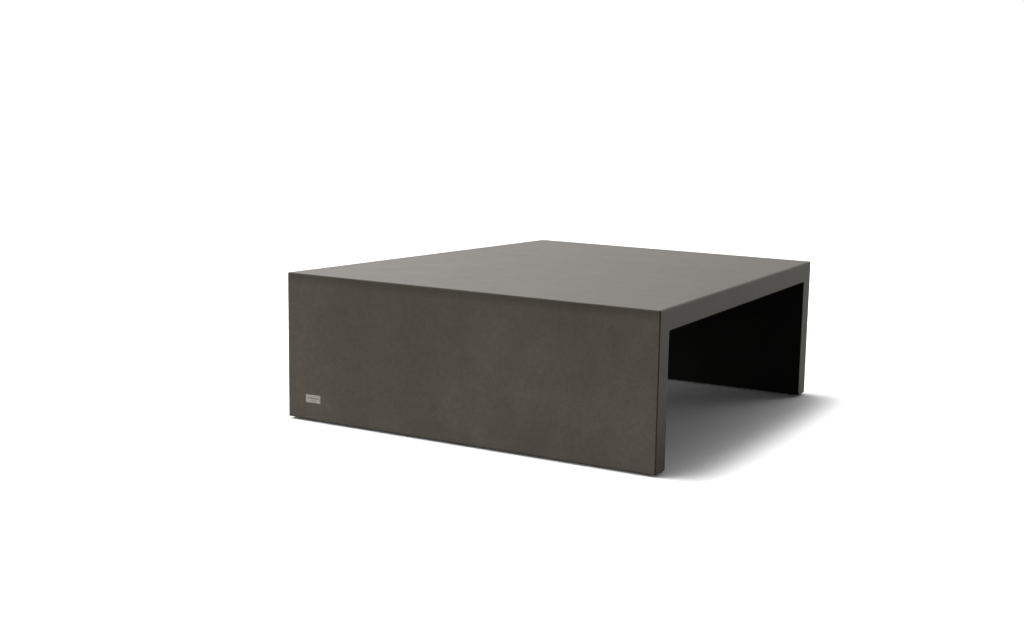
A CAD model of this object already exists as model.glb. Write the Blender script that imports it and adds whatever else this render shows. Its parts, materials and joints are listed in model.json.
import json
import math

import bmesh
import bpy
import numpy as np
from mathutils import Matrix, Vector


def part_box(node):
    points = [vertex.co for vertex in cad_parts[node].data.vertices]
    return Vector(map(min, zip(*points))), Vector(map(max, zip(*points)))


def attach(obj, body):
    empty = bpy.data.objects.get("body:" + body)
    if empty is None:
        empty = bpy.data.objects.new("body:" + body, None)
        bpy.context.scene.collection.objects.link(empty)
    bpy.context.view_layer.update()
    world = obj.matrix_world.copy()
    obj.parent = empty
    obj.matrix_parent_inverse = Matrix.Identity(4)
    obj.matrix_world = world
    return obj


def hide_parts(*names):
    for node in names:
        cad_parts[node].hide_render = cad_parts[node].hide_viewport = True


# Looks of a low bridge table in cast concrete. Metres, +Z up, front panel towards -Y.

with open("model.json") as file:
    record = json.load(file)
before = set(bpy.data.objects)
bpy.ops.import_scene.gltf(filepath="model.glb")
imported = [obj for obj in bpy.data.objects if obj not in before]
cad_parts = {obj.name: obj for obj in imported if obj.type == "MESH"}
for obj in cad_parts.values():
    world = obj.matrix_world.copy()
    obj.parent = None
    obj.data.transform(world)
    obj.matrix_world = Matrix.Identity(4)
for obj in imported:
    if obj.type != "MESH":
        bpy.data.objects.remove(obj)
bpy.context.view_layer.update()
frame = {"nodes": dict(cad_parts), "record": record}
nodes = frame["nodes"]

MM = 0.001
CORNERS = ("front_left", "front_right", "back_left", "back_right")

# Casting
PANEL_CELL = 10 * MM  # largest cell of the casting's mesh
END_RIM = 14 * MM  # solid concrete at each open end
ARRIS = 3 * MM
SOFT_EDGE = 0.8 * MM  # the edges that the mould left nearly sharp
ARRIS_STEPS = 5
SAME_PLACE = 1e-6
SHARP_CASTING = math.radians(50)
FACE_WEIGHT = 90  # the flat faces lead the shading of the rounded edges
WAVE_HEIGHT = 0.22 * MM
WAVE_LENGTH = 190 * MM
RIPPLE_HEIGHT = 0.05 * MM
RIPPLE_LENGTH = 45 * MM
WAVE_SKIN = 3.5 * MM  # the waves move only what lies this near an outer face
RECESS_PLAY = 0.35 * MM
RECESS_FRONT = 2 * MM  # how far the cutting tool starts in front of the plate
STUD_HOLE = 4 * MM  # radius
HOLE_STEPS = 32

# Concrete
CONCRETE_DARK = (0.051, 0.046, 0.038)
CONCRETE_LIGHT = (0.066, 0.059, 0.049)
SEALER_TINT = (1.0, 0.9, 0.68, 1.0)
ARRIS_TONE = 0.5  # the sealer sits darker on the rounded edges
EDGE_BAND = 27 * MM
BAND_TONE = 0.44  # and in a soft band under the top edge of the panels
TOP_CALM = 0.45  # share of the mottle that is left on the trowelled top
FOOT_TONE = 1.34  # the sealer has worn paler towards the floor
TOP_TONE = 0.9
PIT_TONE = 0.45
GRAIN_RELIEF = 0.12  # height of the grain beside the depth of a pit

# Glides
PITCH = 1 * MM
THREAD_DEPTH = 0.55 * MM
THREAD_CREST = 3 * MM
THREAD_NECK = 0.3 * MM  # the plain neck under the head is this much thinner
THREAD_RUN_IN = 1.2 * MM
THREAD_RUN_OUT = 0.8 * MM
THREAD_TIP = 0.1 * MM
HEAD_HEIGHT = 2 * MM
TURN_STEPS = 24
ROWS_PER_PITCH = 6
PAD_STEPS = 144
SHARP_TURNED = math.radians(40)
BORE = 3.02 * MM  # the pad's hole round the stud, radius
POCKET = 5.03 * MM  # the pad's pocket round the stud's head, radius
POCKET_LOW, POCKET_HIGH = 1.58 * MM, 3.62 * MM
SCALLOPS = 18
SCALLOP_DEPTH = 0.45 * MM
SCALLOP_ROUNDNESS = 0.7

# Maker's plate
PLATE_DARK = (0.40, 0.375, 0.33)
PLATE_LIGHT = (0.50, 0.47, 0.42)
PLATE_CORNER = 0.8 * MM
PLATE_EASE = 0.12 * MM
PLATE_EASE_ANGLE = math.radians(40)
ENGRAVING = 0.2 * MM
BORDER_CORNER = 0.6 * MM
BORDER_INSETS = (1.5 * MM, 1.9 * MM)
RULE_HALF_LENGTH, RULE_HALF_WIDTH = 11 * MM, 0.35 * MM
RULE_DROP = 4.2 * MM
LOZENGES = 7
LOZENGE_SPACING = 4.6 * MM
LOZENGE_SIDE = 3 * MM
LOZENGE_DEPTH = 2 * MM
LOZENGE_RISE = 1.6 * MM

# Camera and light
CAMERA_PLACE = Vector((1.734, -3.322, 0.870))
CAMERA_HEADING = math.radians(29.51)  # left of straight back
CAMERA_TILT = math.radians(9.63)  # down
CAMERA_ROLL = math.radians(0.94)
CAMERA_LENS = 51.32
SENSOR = 36.0
FLOOR_REACH = 60  # metres each way
FLOOR_SEEN = 0.9
FLOOR_BOUNCE = 0.28
SOFT_LIGHTS = (  # heading from +X and elevation in degrees, sharpness, strength
    (192, 74, 80, 30.0),
    (188, 70, 120, 18.0),
    (120, 55, 8, 2.2),
    (225, 15, 10, 5.0),
    (137, 14, 12, 1.5),
    (60, 12, 20, 3.7),
)


# The casting's slanted left end: X = left + slope * Y
front_bead, back_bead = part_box("front_corner_bead"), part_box("back_corner_bead")
END_SLOPE = (back_bead[0].x - front_bead[0].x) / (back_bead[1].y - front_bead[1].y)
setback = (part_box("concrete_shell")[1].x - back_bead[1].x) * math.hypot(1, END_SLOPE)
END_LEFT = back_bead[0].x - setback - END_SLOPE * back_bead[1].y


# ---------------------------------------------------------------- small helpers


def link(obj):
    bpy.context.scene.collection.objects.link(obj)
    return obj


def mesh_object(name, bm):
    """A linked object from a bmesh, with its place in its mesh."""
    mesh = bpy.data.meshes.new(name)
    bm.to_mesh(mesh)
    bm.free()
    return link(bpy.data.objects.new(name, mesh))


def settle(obj, name):
    """A plain mesh object with the modifiers of obj applied, in place of obj."""
    graph = bpy.context.evaluated_depsgraph_get()
    graph.update()
    mesh = bpy.data.meshes.new_from_object(obj.evaluated_get(graph))
    bpy.data.objects.remove(obj)
    mesh.name = name
    return link(bpy.data.objects.new(name, mesh))


def finish_piece(obj, slot, body, *replaced):
    """Gives a made piece its finish and its place on the frame."""
    if not obj.data.materials:
        obj.data.materials.append(MATERIALS[slot])
    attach(obj, body)
    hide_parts(*replaced)


def set_input(modifier, name, value):
    """Sets a geometry nodes input by its name."""
    for item in modifier.node_group.interface.items_tree:
        if item.item_type == "SOCKET" and item.in_out == "INPUT" and item.name == name:
            modifier[item.identifier] = value
            return
    raise KeyError(name)


class Tree:
    """A node tree being wired: adds nodes, and links or sets their inputs by name or index."""

    def __init__(self, tree):
        self.tree = tree

    def feed(self, target, value):
        """Links an input to a socket, or sets it to a plain value."""
        if isinstance(value, bpy.types.NodeSocket):
            self.tree.links.new(value, target)
        else:
            target.default_value = value

    def add(self, kind, inputs=None, **settings):
        node = self.tree.nodes.new(kind)
        for key, value in settings.items():
            setattr(node, key, value)
        for key, value in (inputs or {}).items():
            self.feed(node.inputs[key], value)
        return node

    def math(self, operation, first, second=0.0, clamp=False):
        inputs = {0: first, 1: second}
        return self.add("ShaderNodeMath", inputs, operation=operation, use_clamp=clamp).outputs[0]

    def vector(self, operation, first, second=None):
        inputs = {0: first} if second is None else {0: first, 1: second}
        return self.add("ShaderNodeVectorMath", inputs, operation=operation)

    def remap(self, value, low, high, to_low=0.0, to_high=1.0, smooth=True):
        ends = {"From Min": low, "From Max": high, "To Min": to_low, "To Max": to_high}
        node = self.add(
            "ShaderNodeMapRange",
            {"Value": value, **ends},
            interpolation_type="SMOOTHSTEP" if smooth else "LINEAR",
        )
        return node.outputs["Result"]

    def span(self, mask, low, high):
        """A number that goes straight from one to another, by a mask."""
        return self.remap(mask, 0.0, 1.0, low, high, smooth=False)


def node_group(kind, name, inputs, outputs):
    """An empty node group with named sockets, its input node and its output node."""
    group = bpy.data.node_groups.new(name, kind)
    for label, socket, default in inputs:
        made = group.interface.new_socket(label, in_out="INPUT", socket_type=socket)
        if default is not None:
            made.default_value = default
    for label, socket in outputs:
        group.interface.new_socket(label, in_out="OUTPUT", socket_type=socket)
    tree = Tree(group)
    return group, tree, tree.add("NodeGroupInput"), tree.add("NodeGroupOutput")


# ---------------------------------------------------------------- shader groups


def make_cloud_group():
    """Soft clouds of tone in two sizes."""
    group, tree, given, out = node_group(
        "ShaderNodeTree",
        "Clouds",
        [
            ("Vector", "NodeSocketVector", None),
            ("Size", "NodeSocketFloat", 0.2),
            ("Fine Share", "NodeSocketFloat", 0.35),
        ],
        [("Mask", "NodeSocketFloat")],
    )
    place, share = given.outputs["Vector"], given.outputs["Fine Share"]
    scale = tree.math("DIVIDE", 1.0, given.outputs["Size"])
    fine_scale = tree.math("MULTIPLY", scale, 4.3)
    soft = {"Detail": 2.0, "Roughness": 0.45, "Distortion": 0.6}
    crisp = {"Detail": 4.0, "Roughness": 0.55}
    inputs = {"Vector": place, "Scale": scale, **soft}
    broad = tree.add("ShaderNodeTexNoise", inputs).outputs["Fac"]
    inputs = {"Vector": place, "Scale": fine_scale, **crisp}
    fine = tree.add("ShaderNodeTexNoise", inputs).outputs["Fac"]
    mixed = tree.add("ShaderNodeMix", {"Factor": share, "A": broad, "B": fine}).outputs["Result"]
    tree.feed(out.inputs["Mask"], tree.remap(mixed, 0.3, 0.7))
    return group


def make_grain_group():
    """Fine grain: a speckle mask and a height for bump."""
    group, tree, given, out = node_group(
        "ShaderNodeTree",
        "Fine Grain",
        [("Vector", "NodeSocketVector", None), ("Size", "NodeSocketFloat", 0.001)],
        [("Mask", "NodeSocketFloat"), ("Height", "NodeSocketFloat")],
    )
    scale = tree.math("DIVIDE", 1.0, given.outputs["Size"])
    grain = tree.add(
        "ShaderNodeTexNoise",
        {"Vector": given.outputs["Vector"], "Scale": scale, "Detail": 3.0, "Roughness": 0.7},
    )
    tree.feed(out.inputs["Mask"], tree.remap(grain.outputs["Fac"], 0.35, 0.65))
    tree.feed(out.inputs["Height"], grain.outputs["Fac"])
    return group


def make_pit_group():
    """Round pits scattered at random: 1 inside a pit, 0 outside."""
    group, tree, given, out = node_group(
        "ShaderNodeTree",
        "Pits",
        [
            ("Vector", "NodeSocketVector", None),
            ("Spacing", "NodeSocketFloat", 0.02),
            ("Radius", "NodeSocketFloat", 0.0008),
            ("Share", "NodeSocketFloat", 0.3),
        ],
        [("Mask", "NodeSocketFloat")],
    )
    scale = tree.math("DIVIDE", 1.0, given.outputs["Spacing"])
    cells = tree.add("ShaderNodeTexVoronoi", {"Vector": given.outputs["Vector"], "Scale": scale})
    draw = tree.add("ShaderNodeSeparateColor", {"Color": cells.outputs["Color"]})
    kept = tree.math("LESS_THAN", draw.outputs["Red"], given.outputs["Share"])
    size = tree.span(draw.outputs["Green"], 0.3, 1.0)  # of the largest radius
    radius = tree.math("MULTIPLY", tree.math("MULTIPLY", given.outputs["Radius"], size), scale)
    pit_floor = tree.math("MULTIPLY", radius, 0.55)
    inside = tree.remap(cells.outputs["Distance"], radius, pit_floor)
    tree.feed(out.inputs["Mask"], tree.math("MULTIPLY", inside, kept))
    return group


def make_block_group():
    """Masks on a block with a slanted left end: its rounded edges, its upper band and its top."""
    group, tree, given, out = node_group(
        "ShaderNodeTree",
        "Block Faces",
        [
            ("Vector", "NodeSocketVector", None),
            ("Right", "NodeSocketFloat", 0.5),
            ("Left", "NodeSocketFloat", -0.5),
            ("Slope", "NodeSocketFloat", 0.0),
            ("Half Depth", "NodeSocketFloat", 0.5),
            ("Top", "NodeSocketFloat", 0.4),
            ("Radius", "NodeSocketFloat", 0.003),
            ("Band", "NodeSocketFloat", 0.02),
        ],
        [("Arrises", "NodeSocketFloat"), ("Band", "NodeSocketFloat"), ("Top", "NodeSocketFloat")],
    )
    x, y, z = tree.add("ShaderNodeSeparateXYZ", {"Vector": given.outputs["Vector"]}).outputs
    radius = given.outputs["Radius"]
    slant = tree.math("MULTIPLY", given.outputs["Slope"], y)
    from_left = tree.math("SUBTRACT", x, tree.math("ADD", given.outputs["Left"], slant))
    from_right = tree.math("SUBTRACT", given.outputs["Right"], x)
    from_end = tree.math("MINIMUM", from_right, from_left)
    from_panel = tree.math("SUBTRACT", given.outputs["Half Depth"], tree.math("ABSOLUTE", y))
    from_top = tree.math("SUBTRACT", given.outputs["Top"], z)
    start = tree.math("MULTIPLY", radius, 0.55)  # each face's mask fades from here to the radius
    distances = (from_end, from_panel, from_top)
    end, panel, top = [tree.remap(distance, start, radius, 1.0, 0.0) for distance in distances]
    faces_met = tree.math("ADD", tree.math("ADD", end, panel), top)
    under = tree.remap(from_top, 0.0, given.outputs["Band"], 1.0, 0.0, smooth=False)
    tree.feed(out.inputs["Arrises"], tree.math("SUBTRACT", faces_met, 1.0, clamp=True))
    tree.feed(out.inputs["Band"], tree.math("MULTIPLY", panel, under))
    tree.feed(out.inputs["Top"], top)
    return group


CLOUDS = make_cloud_group()
GRAIN = make_grain_group()
PITS = make_pit_group()
BLOCK_FACES = make_block_group()


# ---------------------------------------------------------------- materials


class Finish(Tree):
    """A Principled material, wired from Object coordinates."""

    def __init__(self, name, **values):
        self.material = bpy.data.materials.new(name)
        self.material.use_nodes = True
        super().__init__(self.material.node_tree)
        self.shader = self.tree.nodes["Principled BSDF"]
        for label, value in values.items():
            self.shader.inputs[label.replace("_", " ")].default_value = value
        self.place = self.add("ShaderNodeTexCoord").outputs["Object"]

    def group(self, group, **inputs):
        named = {key.replace("_", " "): value for key, value in inputs.items()}
        return self.add("ShaderNodeGroup", named, node_tree=group)

    def clouds(self, size, fine_share, place=None):
        """A mask of soft clouds."""
        place = self.place if place is None else place
        return self.group(CLOUDS, Vector=place, Size=size, Fine_Share=fine_share).outputs["Mask"]

    def grain(self, size, place=None):
        """Fine grain: the outputs Mask and Height."""
        place = self.place if place is None else place
        return self.group(GRAIN, Vector=place, Size=size).outputs

    def pits(self, spacing, radius, share):
        """A mask of round pits."""
        node = self.group(PITS, Vector=self.place, Spacing=spacing, Radius=radius, Share=share)
        return node.outputs["Mask"]

    def stretched(self, x, y, z):
        """Object coordinates, scaled along each axis."""
        return self.add("ShaderNodeMapping", {"Vector": self.place, "Scale": (x, y, z)}).outputs[0]

    def blend(self, mask, low, high):
        """A colour between two, by a mask."""
        ends = [(*end, 1.0) if isinstance(end, tuple) else end for end in (low, high)]
        node = self.add("ShaderNodeMix", {0: mask}, data_type="RGBA")
        for index, value in zip((6, 7), ends):  # the mix node's two colour inputs
            self.feed(node.inputs[index], value)
        return node.outputs[2]

    def scale_colour(self, colour, factor):
        """A colour made lighter or darker by a factor."""
        node = self.add("ShaderNodeVectorMath", {0: colour, "Scale": factor}, operation="SCALE")
        return node.outputs["Vector"]

    def colour(self, socket):
        self.feed(self.shader.inputs["Base Color"], socket)

    def roughness(self, mask, low, high):
        self.feed(self.shader.inputs["Roughness"], self.span(mask, low, high))

    def bump(self, height, distance, strength=1.0):
        inputs = {"Height": height, "Distance": distance, "Strength": strength}
        node = self.add("ShaderNodeBump", inputs)
        self.feed(self.shader.inputs["Normal"], node.outputs["Normal"])


def make_concrete():
    finish = Finish("Sealed Concrete", IOR=1.42, Specular_Tint=SEALER_TINT)
    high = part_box("concrete_shell")[1]
    faces = finish.group(
        BLOCK_FACES,
        Vector=finish.place,
        Right=high.x,
        Left=END_LEFT,
        Slope=END_SLOPE,
        Half_Depth=high.y,
        Top=high.z,
        Radius=ARRIS,
        Band=EDGE_BAND,
    ).outputs
    clouds = finish.clouds(0.30, 0.3)
    streaks = finish.clouds(0.07, 0.4, finish.stretched(1, 1, 0.6))
    speckle = finish.grain(0.009)["Mask"]
    grain = finish.grain(0.0016)
    pits = finish.pits(0.021, 0.0007, 0.22)
    height = finish.add("ShaderNodeSeparateXYZ", {"Vector": finish.place}).outputs["Z"]

    # the trowelled top is calmer than the upright faces
    depth = finish.span(faces["Top"], 1.0, TOP_CALM)
    mottle = finish.math("MULTIPLY", finish.math("SUBTRACT", streaks, 0.5), depth)
    cloud_tone = finish.math("MULTIPLY", finish.math("SUBTRACT", clouds, 0.5), depth)
    base = finish.blend(finish.math("ADD", cloud_tone, 0.5), CONCRETE_DARK, CONCRETE_LIGHT)
    tones = (
        finish.remap(mottle, -0.5, 0.5, 0.93, 1.07, smooth=False),
        finish.span(speckle, 0.94, 1.06),
        finish.span(grain["Mask"], 0.93, 1.07),
        finish.span(pits, 1.0, PIT_TONE),
        finish.span(faces["Arrises"], 1.0, ARRIS_TONE),
        finish.span(faces["Band"], 1.0, BAND_TONE),
        finish.remap(height, 0.0, high.z, FOOT_TONE, TOP_TONE, smooth=False),
    )
    for tone in tones:
        base = finish.scale_colour(base, tone)
    finish.colour(base)
    finish.roughness(streaks, 0.45, 0.48)
    relief = finish.math("SUBTRACT", finish.math("MULTIPLY", grain["Height"], GRAIN_RELIEF), pits)
    finish.bump(relief, 0.0005, 0.6)
    return finish.material


def make_black_panel():
    finish = Finish("Black Laminate", IOR=1.45, Specular_IOR_Level=0.12)
    clouds = finish.clouds(0.15, 0.4)
    grain = finish.grain(0.0022)
    finish.colour(finish.blend(clouds, (0.0046, 0.0042, 0.0036), (0.0076, 0.0070, 0.0060)))
    finish.roughness(grain["Mask"], 0.62, 0.78)
    finish.bump(grain["Height"], 0.0002, 0.5)
    return finish.material


def make_sealant():
    finish = Finish("Black Sealant", IOR=1.45, Specular_IOR_Level=0.2)
    clouds = finish.clouds(0.02, 0.5, finish.stretched(0.3, 1, 1))
    finish.colour(finish.blend(clouds, (0.005, 0.005, 0.005), (0.009, 0.009, 0.0088)))
    finish.roughness(clouds, 0.45, 0.6)
    finish.bump(clouds, 0.0003, 0.4)
    return finish.material


def make_frame_steel():
    finish = Finish("Primed Steel", IOR=1.5)
    clouds = finish.clouds(0.05, 0.5)
    grain = finish.grain(0.0012)
    rust = finish.pits(0.016, 0.003, 0.18)
    base = finish.blend(clouds, (0.045, 0.046, 0.048), (0.065, 0.066, 0.068))
    finish.colour(finish.blend(finish.math("MULTIPLY", rust, 0.6), base, (0.13, 0.05, 0.022)))
    finish.roughness(clouds, 0.45, 0.62)
    finish.bump(grain["Height"], 0.0002, 0.5)
    return finish.material


def make_zinc():
    finish = Finish("Zinc Plate", Metallic=1.0)
    clouds = finish.clouds(0.004, 0.5)
    grain = finish.grain(0.0004)
    finish.colour(finish.blend(clouds, (0.46, 0.47, 0.48), (0.6, 0.6, 0.58)))
    finish.roughness(clouds, 0.28, 0.42)
    finish.bump(grain["Height"], 0.00003, 0.5)
    return finish.material


def make_foam():
    finish = Finish("Bead Foam", IOR=1.3)
    beads = finish.add("ShaderNodeTexVoronoi", {"Vector": finish.place, "Scale": 240.0})
    clouds = finish.clouds(0.1, 0.4)
    joint = finish.remap(beads.outputs["Distance"], 0.35, 0.75)
    base = finish.blend(clouds, (0.78, 0.78, 0.76), (0.84, 0.84, 0.83))
    finish.colour(finish.blend(joint, base, (0.6, 0.6, 0.58)))
    finish.roughness(joint, 0.75, 0.95)
    finish.bump(finish.math("SUBTRACT", 1.0, joint), 0.0006, 0.7)
    return finish.material


def make_nylon():
    finish = Finish("Black Nylon", IOR=1.5)
    clouds = finish.clouds(0.006, 0.5)
    grain = finish.grain(0.0005)
    finish.colour(finish.blend(clouds, (0.008, 0.008, 0.008), (0.014, 0.014, 0.0135)))
    finish.roughness(clouds, 0.42, 0.58)
    finish.bump(grain["Height"], 0.00005, 0.5)
    return finish.material


def make_plate_metal():
    finish = Finish("Brushed Nickel", Metallic=1.0)
    brushed = finish.grain(0.00022, finish.stretched(0.025, 1, 1))
    clouds = finish.clouds(0.012, 0.4)
    base = finish.blend(clouds, PLATE_DARK, PLATE_LIGHT)
    finish.colour(finish.scale_colour(base, finish.span(brushed["Mask"], 0.9, 1.1)))
    finish.roughness(brushed["Mask"], 0.3, 0.46)
    finish.bump(brushed["Height"], 0.00002, 0.6)
    return finish.material


def make_enamel():
    finish = Finish("Dark Enamel", IOR=1.5)
    clouds = finish.clouds(0.003, 0.5)
    finish.colour(finish.blend(clouds, (0.012, 0.011, 0.010), (0.022, 0.021, 0.019)))
    finish.roughness(clouds, 0.35, 0.5)
    return finish.material


def make_tape():
    finish = Finish("Mounting Tape", IOR=1.45)
    grain = finish.grain(0.0006)
    finish.colour(finish.blend(grain["Mask"], (0.012, 0.012, 0.012), (0.022, 0.022, 0.021)))
    finish.roughness(grain["Mask"], 0.6, 0.75)
    finish.bump(grain["Height"], 0.0001, 0.5)
    return finish.material


MATERIALS = {
    "concrete": make_concrete(),
    "black_panel": make_black_panel(),
    "sealant": make_sealant(),
    "frame_steel": make_frame_steel(),
    "zinc_steel": make_zinc(),
    "foam": make_foam(),
    "nylon": make_nylon(),
    "plate_metal": make_plate_metal(),
    "adhesive_tape": make_tape(),
}
ENAMEL = make_enamel()

SLOT_OF = {entry["node"]: entry["material_slot"] for entry in frame["record"]["subparts"]}
for name, obj in nodes.items():
    for holder in obj.material_slots:
        holder.material = MATERIALS[SLOT_OF[name]]


# ---------------------------------------------------------------- concrete casting


def cut_lines(marks, step):
    """The marks, with the spans between them divided evenly into steps or less."""
    lines = []
    for start, end in zip(marks, marks[1:]):
        count = math.ceil((end - start) / step)
        lines += [start + (end - start) * i / count for i in range(count)]
    return np.array([*lines, marks[-1]])


def block_surface(lines, filled):
    """Vertices and outward quads of the surface round the filled cells of an uneven grid."""
    counts = [len(line) for line in lines]
    corner_ids = np.arange(math.prod(counts)).reshape(counts)
    quads = []
    for axis in range(3):
        across = np.moveaxis(filled, axis, 0).astype(int)
        ids = np.moveaxis(corner_ids, axis, 0)
        if axis == 1:  # keeps the other two axes in turning order
            across, ids = across.swapaxes(1, 2), ids.swapaxes(1, 2)
        steps = np.diff(np.pad(across, ((1, 1), (0, 0), (0, 0))), axis=0)
        for sign in (-1, 1):
            i, j, k = np.nonzero(steps == sign)
            ring = [ids[i, j, k], ids[i, j + 1, k], ids[i, j + 1, k + 1], ids[i, j, k + 1]]
            quads.append(np.stack(ring if sign < 0 else ring[::-1], axis=1))
    quads = np.concatenate(quads)
    used, compact = np.unique(quads, return_inverse=True)
    place = np.stack(np.unravel_index(used, corner_ids.shape), axis=1)
    points = np.stack([lines[axis][place[:, axis]] for axis in range(3)], axis=1)
    return points, compact.reshape(quads.shape)


def rounded_outline(half_x, half_z, radius, steps=5):
    """Corner points of a rounded rectangle about its middle, anticlockwise."""
    points = []
    for turn, (x, z) in enumerate(((1, 1), (-1, 1), (-1, -1), (1, -1))):
        for step in range(steps + 1):
            angle = math.pi / 2 * (turn + step / steps)
            across = x * (half_x - radius) + radius * math.cos(angle)
            up = z * (half_z - radius) + radius * math.sin(angle)
            points.append((across, up))
    return points


def add_prism(bm, outline, place):
    """Adds a prism to bm: an outline at depth 0 and at depth 1, put in place by a function."""
    near, far = [[bm.verts.new(place(a, b, depth)) for a, b in outline] for depth in (0, 1)]
    made = [bm.faces.new(near), bm.faces.new(far[::-1])]
    for i in range(len(outline)):
        j = (i + 1) % len(outline)
        made.append(bm.faces.new((near[i], far[i], far[j], near[j])))
    bmesh.ops.recalc_face_normals(bm, faces=made)


def casting_cutter(plate_recess, holes):
    """The plate's recess and the glides' holes, as one cutting mesh."""
    bm = bmesh.new()
    middle, half_x, half_z, radius, back = plate_recess
    depths = (middle.y - RECESS_FRONT, back)

    def in_panel(a, b, depth):
        return (middle.x + a, depths[depth], middle.z + b)

    add_prism(bm, rounded_outline(half_x, half_z, radius), in_panel)
    turns = [math.tau * step / HOLE_STEPS for step in range(HOLE_STEPS)]
    circle = [(STUD_HOLE * math.cos(turn), STUD_HOLE * math.sin(turn)) for turn in turns]
    for x, y, low, high in holes:

        def in_foot(a, b, depth):
            return (x + a, y + b, (low, high)[depth])

        add_prism(bm, circle, in_foot)
    return mesh_object("casting_cutter", bm)


def make_wave_tree():
    """Waves in the outer faces, as in a mould's own, that die out round the plate."""
    group, tree, given, out = node_group(
        "GeometryNodeTree",
        "Cast Waves",
        [
            ("Geometry", "NodeSocketGeometry", None),
            ("Wave Height", "NodeSocketFloat", 0.0002),
            ("Wave Length", "NodeSocketFloat", 0.2),
            ("Ripple Height", "NodeSocketFloat", 0.00005),
            ("Ripple Length", "NodeSocketFloat", 0.05),
            ("Outer Faces", "NodeSocketVector", None),
            ("Foot", "NodeSocketFloat", 0.0),
            ("Plate", "NodeSocketVector", None),
            ("Plate Clearance", "NodeSocketFloat", 0.04),
            ("Seed", "NodeSocketFloat", 7.0),
        ],
        [("Geometry", "NodeSocketGeometry")],
    )
    place = tree.add("GeometryNodeInputPosition").outputs[0]
    seed = given.outputs["Seed"]

    def noise(length, height):
        scale = tree.math("DIVIDE", 1.0, given.outputs[length])
        inputs = {"Vector": place, "W": seed, "Scale": scale, "Detail": 1.0}
        wave = tree.add("ShaderNodeTexNoise", inputs, noise_dimensions="4D").outputs[0]
        full_height = tree.math("MULTIPLY", given.outputs[height], 2.0)
        return tree.math("MULTIPLY", tree.math("SUBTRACT", wave, 0.5), full_height)

    wave = noise("Wave Length", "Wave Height")
    lift = tree.math("ADD", wave, noise("Ripple Length", "Ripple Height"))
    clearance = given.outputs["Plate Clearance"]
    from_plate = tree.vector("DISTANCE", place, given.outputs["Plate"]).outputs["Value"]
    clear = tree.remap(from_plate, clearance, tree.math("MULTIPLY", clearance, 2.5))
    size = tree.vector("ABSOLUTE", place).outputs[0]
    past = tree.vector("SUBTRACT", size, given.outputs["Outer Faces"]).outputs[0]
    past_x, past_y, past_z = tree.add("ShaderNodeSeparateXYZ", {"Vector": past}).outputs
    outermost = tree.math("MAXIMUM", tree.math("MAXIMUM", past_x, past_y), past_z)
    outside = tree.math("GREATER_THAN", outermost, 0.0)
    height = tree.add("ShaderNodeSeparateXYZ", {"Vector": place}).outputs["Z"]
    above_foot = tree.math("GREATER_THAN", height, given.outputs["Foot"])
    share = tree.math("MULTIPLY", tree.math("MULTIPLY", outside, above_foot), clear)
    normal = tree.add("GeometryNodeInputNormal").outputs[0]
    move = {0: normal, "Scale": tree.math("MULTIPLY", lift, share)}
    offset = tree.add("ShaderNodeVectorMath", move, operation="SCALE").outputs[0]
    inputs = {"Geometry": given.outputs["Geometry"], "Offset": offset}
    moved = tree.add("GeometryNodeSetPosition", inputs).outputs[0]
    realized = tree.add("GeometryNodeRealizeInstances", {0: moved}).outputs[0]
    inputs = {"Geometry": realized, "Material": MATERIALS["concrete"]}
    tree.feed(out.inputs[0], tree.add("GeometryNodeSetMaterial", inputs).outputs[0])
    return group


def lean_in(mesh, high):
    """Draws the left end of a square block in to the slanted end of the casting."""
    for vert in mesh.vertices:
        left = END_LEFT + END_SLOPE * vert.co.y
        vert.co.x = high.x - (high.x - vert.co.x) * (high.x - left) / (2 * high.x)


def mark_arrises(mesh, low, high, arch):
    """Weights the edges to be rounded: the outer ones fully, the end faces' others a little."""
    bm = bmesh.new()
    bm.from_mesh(mesh)
    weight = bm.edges.layers.float.new("bevel_weight_edge")
    near = SAME_PLACE
    for edge in bm.edges:
        places = [vert.co for vert in edge.verts]
        at_end = all(abs(abs(p.x) - high.x) < near for p in places)
        at_face = all(abs(abs(p.y) - high.y) < near for p in places)
        at_top = all(abs(p.z - high.z) < near for p in places)
        at_foot = all(abs(p.z - low.z) < near for p in places)
        on_arch_side = all(abs(abs(p.y) - arch[0]) < near and p.z < arch[1] + near for p in places)
        under_arch = all(abs(p.z - arch[1]) < near and abs(p.y) < arch[0] + near for p in places)
        if (at_face and (at_end or at_top or at_foot)) or (at_top and at_end):
            edge[weight] = 1.0
        elif at_end and (at_foot or on_arch_side or under_arch):
            edge[weight] = SOFT_EDGE / ARRIS
        edge.smooth = True
    for face in bm.faces:
        face.smooth = True
    bm.to_mesh(mesh)
    bm.free()


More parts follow.
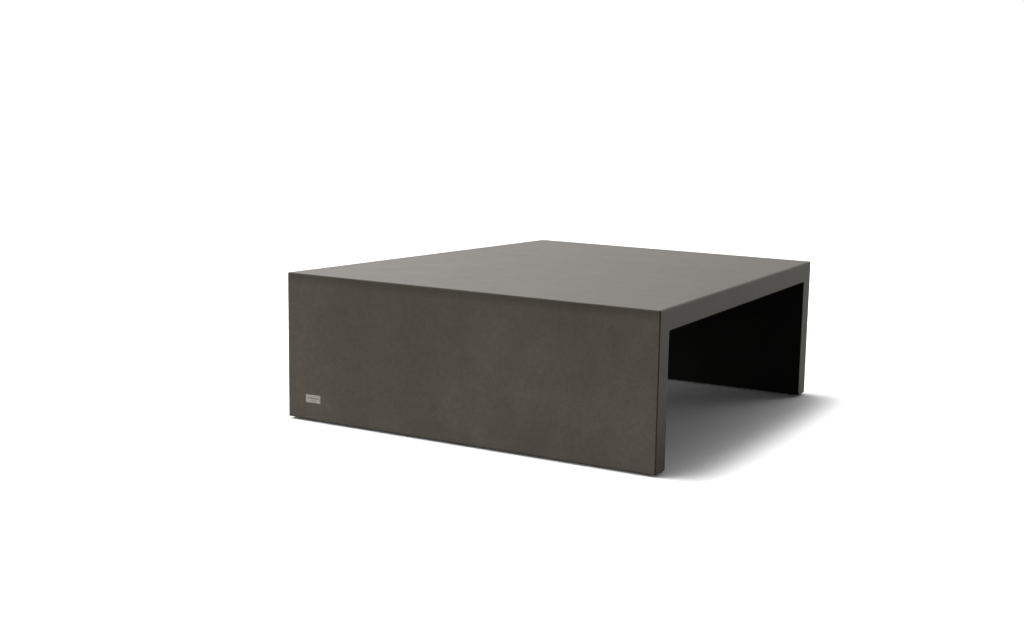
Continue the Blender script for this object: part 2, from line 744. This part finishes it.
def make_casting():
    low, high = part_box("concrete_shell")
    low = Vector((-high.x, -high.y, low.z))  # a square block, until lean_in slants its left end
    arch = (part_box("back_liner")[1].y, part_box("top_liner")[1].z)
    cavity = (high.x - END_RIM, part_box("back_leg_block")[1].y)
    cavity_z = (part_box("post_front_left")[0].z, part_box("top_block_front")[1].z)
    lines = (
        cut_lines((low.x, -cavity[0], cavity[0], high.x), PANEL_CELL),
        cut_lines((low.y, -cavity[1], -arch[0], arch[0], cavity[1], high.y), PANEL_CELL),
        cut_lines((low.z, cavity_z[0], arch[1], cavity_z[1], high.z), PANEL_CELL),
    )
    x, y, z = np.meshgrid(*[(line[1:] + line[:-1]) / 2 for line in lines], indexing="ij")
    in_arch = (abs(y) < arch[0]) & (z < arch[1])
    in_cavity = (abs(x) < cavity[0]) & (abs(y) < cavity[1]) & (z > cavity_z[0]) & (z < cavity_z[1])
    points, quads = block_surface(lines, ~in_arch & ~in_cavity)

    mesh = bpy.data.meshes.new("casting_blank")
    mesh.from_pydata(points.tolist(), [], quads.tolist())
    mark_arrises(mesh, low, high, arch)
    casting = link(bpy.data.objects.new("casting_blank", mesh))

    bevel = casting.modifiers.new("Arrises", "BEVEL")
    bevel.limit_method = "WEIGHT"
    bevel.width = ARRIS
    bevel.segments = ARRIS_STEPS
    bevel.use_clamp_overlap = False

    plate_low, plate_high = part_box("nameplate")
    plate_middle = (plate_low + plate_high) / 2
    waves = casting.modifiers.new("Waves", "NODES")
    waves.node_group = make_wave_tree()
    set_input(waves, "Wave Height", WAVE_HEIGHT)
    set_input(waves, "Wave Length", WAVE_LENGTH)
    set_input(waves, "Ripple Height", RIPPLE_HEIGHT)
    set_input(waves, "Ripple Length", RIPPLE_LENGTH)
    set_input(waves, "Outer Faces", tuple(side - WAVE_SKIN for side in high))
    set_input(waves, "Foot", low.z + WAVE_SKIN)
    set_input(waves, "Plate", (plate_middle.x, low.y, plate_middle.z))
    casting = settle(casting, "casting_block")
    lean_in(casting.data, high)

    recess = (
        Vector((plate_middle.x, plate_low.y, plate_middle.z)),
        (plate_high.x - plate_low.x) / 2 + RECESS_PLAY,
        (plate_high.z - plate_low.z) / 2 + RECESS_PLAY,
        PLATE_CORNER + RECESS_PLAY,
        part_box("nameplate_tape")[1].y,
    )
    holes = []
    for corner in CORNERS:
        pad_low, pad_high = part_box(f"foot_pad_{corner}")
        middle = (pad_low + pad_high) / 2
        holes.append((middle.x, middle.y, low.z - MM, cavity_z[0] + MM))
    cutter = casting_cutter(recess, holes)
    cut = casting.modifiers.new("Recess and holes", "BOOLEAN")
    cut.operation = "DIFFERENCE"
    cut.solver = "EXACT"
    cut.object = cutter

    casting = settle(casting, "casting_cut")
    bpy.data.objects.remove(cutter)
    casting.data.set_sharp_from_angle(angle=SHARP_CASTING)

    weighted = casting.modifiers.new("Flat faces", "WEIGHTED_NORMAL")
    weighted.weight = FACE_WEIGHT
    weighted.keep_sharp = True
    return settle(casting, "concrete_casting")


finish_piece(make_casting(), "concrete", "table", "concrete_shell")


# ---------------------------------------------------------------- glides


def turned_surface(name, rows, radius_at, centre, steps):
    """A closed mesh of rings about a vertical axis; a row of radius 0 is a pole."""
    bm = bmesh.new()
    rings = []
    for radius, height in rows:
        if radius == 0:
            rings.append([bm.verts.new((centre.x, centre.y, height))])
            continue
        ring = []
        for step in range(steps):
            angle = math.tau * step / steps
            r = radius_at(radius, height, angle)
            x, y = centre.x + r * math.cos(angle), centre.y + r * math.sin(angle)
            ring.append(bm.verts.new((x, y, height)))
        rings.append(ring)
    for below, above in zip(rings, rings[1:]):
        for step in range(steps):
            other = (step + 1) % steps
            lower = (below[step % len(below)], below[other % len(below)])
            upper = (above[other % len(above)], above[step % len(above)])
            bm.faces.new(list(dict.fromkeys(lower + upper)))  # a triangle beside a pole
    bmesh.ops.recalc_face_normals(bm, faces=bm.faces)
    for face in bm.faces:
        face.smooth = True
    obj = mesh_object(name, bm)
    obj.data.set_sharp_from_angle(angle=SHARP_TURNED)
    return obj


def make_pad(corner):
    """Nylon pad with a scalloped grip, moulded round the stud's head."""
    low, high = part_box(f"foot_pad_{corner}")
    centre = (low + high) / 2
    outer = (high.x - low.x) / 2
    height = high.z - low.z
    rows = [  # radius and height, from the middle of the sole up and in to the pocket
        (0, 0.35 * MM),
        (0.6 * outer, 0.35 * MM),
        (0.68 * outer, 0.3 * MM),
        (0.74 * outer, 0.05 * MM),
        (0.78 * outer, 0),
        (0.88 * outer, 0),
        (0.94 * outer, 0.12 * MM),
        (0.98 * outer, 0.45 * MM),
        (outer, 0.9 * MM),
        (outer, 1.2 * MM),
        (outer, height - 1.3 * MM),
        (outer, height - 0.9 * MM),
        (0.98 * outer, height - 0.4 * MM),
        (0.94 * outer, height - 0.1 * MM),
        (0.88 * outer, height),
        (1.4 * BORE, height),
        (1.15 * BORE, height),
        (BORE, height - 0.2 * MM),
        (BORE, POCKET_HIGH),
        (POCKET, POCKET_HIGH),
        (POCKET, POCKET_LOW),
        (0, POCKET_LOW),
    ]

    def scalloped(radius, z, angle):
        if radius < outer * 0.99 or not MM < z - low.z < height - MM:
            return radius
        return radius - SCALLOP_DEPTH * max(0.0, math.cos(SCALLOPS * angle)) ** SCALLOP_ROUNDNESS

    rows = [(radius, low.z + z) for radius, z in rows]
    return turned_surface(f"glide_pad_{corner}", rows, scalloped, centre, PAD_STEPS)


def make_stud(corner):
    """Zinc-plated stud with a hexagonal head and a rolled thread."""
    low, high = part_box(f"foot_stud_{corner}")
    centre = (low + high) / 2
    head_radius = (high.x - low.x) / 2
    head_top = low.z + HEAD_HEIGHT
    neck = THREAD_CREST - THREAD_NECK
    start, end = head_top + THREAD_RUN_IN, high.z - THREAD_RUN_OUT
    count = round((end - start) / PITCH * ROWS_PER_PITCH)
    heights = [start + (end - start) * (i + 0.5) / count for i in range(count)]
    rows = [(0, low.z), (head_radius, low.z), (head_radius, head_top)]
    rows += [(neck, head_top), (neck, start)]
    rows += [(THREAD_CREST, height) for height in heights]
    rows += [(THREAD_CREST - THREAD_DEPTH, end + THREAD_TIP)]
    rows += [(THREAD_CREST - THREAD_RUN_OUT, high.z), (0, high.z)]

    def threaded(radius, z, angle):
        if radius == head_radius:
            sixth = math.pi / 3
            return radius * math.cos(sixth / 2) / math.cos((angle % sixth) - sixth / 2)
        if radius == THREAD_CREST:
            phase = (z / PITCH - angle / math.tau) % 1
            return THREAD_CREST - THREAD_DEPTH * abs(2 * phase - 1)
        return radius

    return turned_surface(f"glide_stud_{corner}", rows, threaded, centre, TURN_STEPS)


for corner in CORNERS:
    body = f"foot_{corner}"
    finish_piece(make_pad(corner), "nylon", body, f"foot_pad_{corner}")
    finish_piece(make_stud(corner), "zinc_steel", body, f"foot_stud_{corner}")


# ---------------------------------------------------------------- maker's plate


def make_row_tree():
    """A row of lozenges, as a cutter for engraving."""
    group, tree, given, out = node_group(
        "GeometryNodeTree",
        "Lozenge Row",
        [
            ("Count", "NodeSocketInt", 7),
            ("Spacing", "NodeSocketFloat", 0.004),
            ("Lozenge", "NodeSocketVector", (0.002, 0.001, 0.002)),
            ("Middle", "NodeSocketVector", None),
            ("Enamel", "NodeSocketMaterial", None),
        ],
        [("Geometry", "NodeSocketGeometry")],
    )
    count, spacing = given.outputs["Count"], given.outputs["Spacing"]
    length = tree.math("MULTIPLY", tree.math("SUBTRACT", count, 1.0), spacing)
    start = tree.add("ShaderNodeCombineXYZ", {"X": tree.math("MULTIPLY", length, -0.5)}).outputs[0]
    first = tree.vector("ADD", start, given.outputs["Middle"]).outputs[0]
    gap = tree.add("ShaderNodeCombineXYZ", {"X": spacing}).outputs[0]
    inputs = {"Count": count, "Start Location": first, "Offset": gap}
    row = tree.add("GeometryNodeMeshLine", inputs).outputs["Mesh"]
    cube = tree.add("GeometryNodeMeshCube", {"Size": given.outputs["Lozenge"]}).outputs["Mesh"]
    inputs = {"Points": row, "Instance": cube, "Rotation": (0.0, math.pi / 4, 0.0)}
    placed = tree.add("GeometryNodeInstanceOnPoints", inputs).outputs[0]
    realized = tree.add("GeometryNodeRealizeInstances", {0: placed}).outputs[0]
    inputs = {"Geometry": realized, "Material": given.outputs["Enamel"]}
    tree.feed(out.inputs[0], tree.add("GeometryNodeSetMaterial", inputs).outputs[0])
    return group


def make_plate():
    """Thin plate with eased edges and a plain engraved border, row of lozenges and rule."""
    low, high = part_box("nameplate")
    middle = (low + high) / 2
    half_x, half_z = (high.x - low.x) / 2, (high.z - low.z) / 2
    bm = bmesh.new()
    add_prism(
        bm,
        rounded_outline(half_x, half_z, PLATE_CORNER, steps=6),
        lambda a, b, depth: (middle.x + a, (low.y, high.y)[depth], middle.z + b),
    )
    plate = mesh_object("plate_blank", bm)
    plate.data.materials.append(MATERIALS["plate_metal"])
    plate.data.materials.append(ENAMEL)
    bevel = plate.modifiers.new("Eased edge", "BEVEL")
    bevel.width = PLATE_EASE
    bevel.segments = 3
    bevel.limit_method = "ANGLE"
    bevel.angle_limit = PLATE_EASE_ANGLE

    def cutter(name, build):
        cut_mesh = bmesh.new()
        build(cut_mesh)
        obj = mesh_object(name, cut_mesh)
        obj.data.materials.append(ENAMEL)
        return obj

    def in_face(a, b, depth):
        return (middle.x + a, (low.y - MM, low.y + ENGRAVING)[depth], middle.z + b)

    def border(bm):
        outlines = [
            rounded_outline(half_x - inset, half_z - inset, BORDER_CORNER, steps=4)
            for inset in BORDER_INSETS
        ]
        verts = [
            [[bm.verts.new(in_face(a, b, depth)) for a, b in outline] for outline in outlines]
            for depth in (0, 1)
        ]
        count = len(outlines[0])
        for i in range(count):
            j = (i + 1) % count
            for outer, inner in verts:
                bm.faces.new((outer[i], outer[j], inner[j], inner[i]))
            for front, back in zip(*verts):
                bm.faces.new((front[i], front[j], back[j], back[i]))
        bmesh.ops.recalc_face_normals(bm, faces=bm.faces)

    def rule(bm):
        x, z = RULE_HALF_LENGTH, RULE_HALF_WIDTH
        outline = [(-x, -z), (x, -z), (x, z), (-x, z)]
        add_prism(bm, outline, lambda a, b, depth: in_face(a, b - RULE_DROP, depth))

    lozenges = link(bpy.data.objects.new("lozenges", bpy.data.meshes.new("lozenges")))
    row = lozenges.modifiers.new("Row", "NODES")
    row.node_group = make_row_tree()
    set_input(row, "Count", LOZENGES)
    set_input(row, "Spacing", LOZENGE_SPACING)
    set_input(row, "Lozenge", (LOZENGE_SIDE, LOZENGE_DEPTH, LOZENGE_SIDE))
    depth = low.y + ENGRAVING - LOZENGE_DEPTH / 2
    set_input(row, "Middle", (middle.x, depth, middle.z + LOZENGE_RISE))
    set_input(row, "Enamel", ENAMEL)

    cutters = [cutter("border", border), cutter("rule", rule), settle(lozenges, "lozenges")]
    for tool in cutters:
        cut = plate.modifiers.new(tool.name, "BOOLEAN")
        cut.operation = "DIFFERENCE"
        cut.solver = "EXACT"
        cut.material_mode = "TRANSFER"
        cut.object = tool
    plate = settle(plate, "makers_plate")
    for tool in cutters:
        bpy.data.objects.remove(tool)
    return plate


finish_piece(make_plate(), "plate_metal", "table", "nameplate")


# ---------------------------------------------------------------- studio


def make_floor():
    """A floor that looks white to the camera but throws back much less light than it seems to."""
    finish = Finish("Pale Floor", Roughness=0.9, Specular_IOR_Level=0.0)
    tone = finish.span(finish.clouds(1.5, 0.3), 0.99, 1.01)
    seen = finish.add("ShaderNodeLightPath").outputs["Is Camera Ray"]
    white = finish.span(seen, FLOOR_BOUNCE, FLOOR_SEEN)
    finish.colour(finish.scale_colour((1.0, 1.0, 1.0), finish.math("MULTIPLY", white, tone)))
    bm = bmesh.new()
    bmesh.ops.create_grid(bm, x_segments=8, y_segments=8, size=FLOOR_REACH)
    floor = mesh_object("studio_floor", bm)
    floor.data.materials.append(finish.material)


def make_soft_light_group():
    """Light that comes softly from round one direction."""
    group, tree, given, out = node_group(
        "ShaderNodeTree",
        "Soft Light",
        [
            ("Direction", "NodeSocketVector", None),
            ("Source", "NodeSocketVector", (0.0, 0.0, 1.0)),
            ("Sharpness", "NodeSocketFloat", 8.0),
            ("Strength", "NodeSocketFloat", 1.0),
        ],
        [("Strength", "NodeSocketFloat")],
    )
    unit = tree.vector("NORMALIZE", given.outputs["Direction"]).outputs[0]
    source = tree.vector("NORMALIZE", given.outputs["Source"]).outputs[0]
    facing = tree.vector("DOT_PRODUCT", unit, source).outputs["Value"]
    away = tree.math("MULTIPLY", tree.math("SUBTRACT", facing, 1.0), given.outputs["Sharpness"])
    glow = tree.math("MULTIPLY", tree.math("EXPONENT", away), given.outputs["Strength"])
    tree.feed(out.inputs["Strength"], glow)
    return group


def make_world():
    """White to the camera, and lit by the soft lights for everything else."""
    world = bpy.data.worlds.new("Studio")
    world.use_nodes = True
    bpy.context.scene.world = world
    tree = Tree(world.node_tree)
    direction = tree.add("ShaderNodeTexCoord").outputs["Generated"]
    group = make_soft_light_group()
    total = 0.0
    for heading, elevation, sharpness, strength in SOFT_LIGHTS:
        turn, lift = math.radians(heading), math.radians(elevation)
        source = (math.cos(lift) * math.cos(turn), math.cos(lift) * math.sin(turn), math.sin(lift))
        inputs = {"Direction": direction, "Source": source}
        inputs |= {"Sharpness": sharpness, "Strength": strength}
        light = tree.add("ShaderNodeGroup", inputs, node_tree=group)
        total = tree.math("ADD", light.outputs["Strength"], total)
    seen = tree.add("ShaderNodeLightPath").outputs["Is Camera Ray"]
    mixed = tree.add("ShaderNodeMix", {"Factor": seen, "A": total, "B": 1.0}).outputs["Result"]
    background = world.node_tree.nodes["Background"]
    background.inputs["Color"].default_value = (1, 1, 1, 1)
    tree.feed(background.inputs["Strength"], mixed)


def make_camera():
    camera = link(bpy.data.objects.new("camera", bpy.data.cameras.new("camera")))
    camera.data.lens = CAMERA_LENS
    camera.data.sensor_width = SENSOR
    camera.matrix_world = (
        Matrix.Translation(CAMERA_PLACE)
        @ Matrix.Rotation(CAMERA_HEADING, 4, "Z")
        @ Matrix.Rotation(math.pi / 2 - CAMERA_TILT, 4, "X")
        @ Matrix.Rotation(CAMERA_ROLL, 4, "Z")
    )
    bpy.context.scene.camera = camera


make_floor()
make_world()
make_camera()
bpy.context.scene.view_settings.view_transform = "Standard"
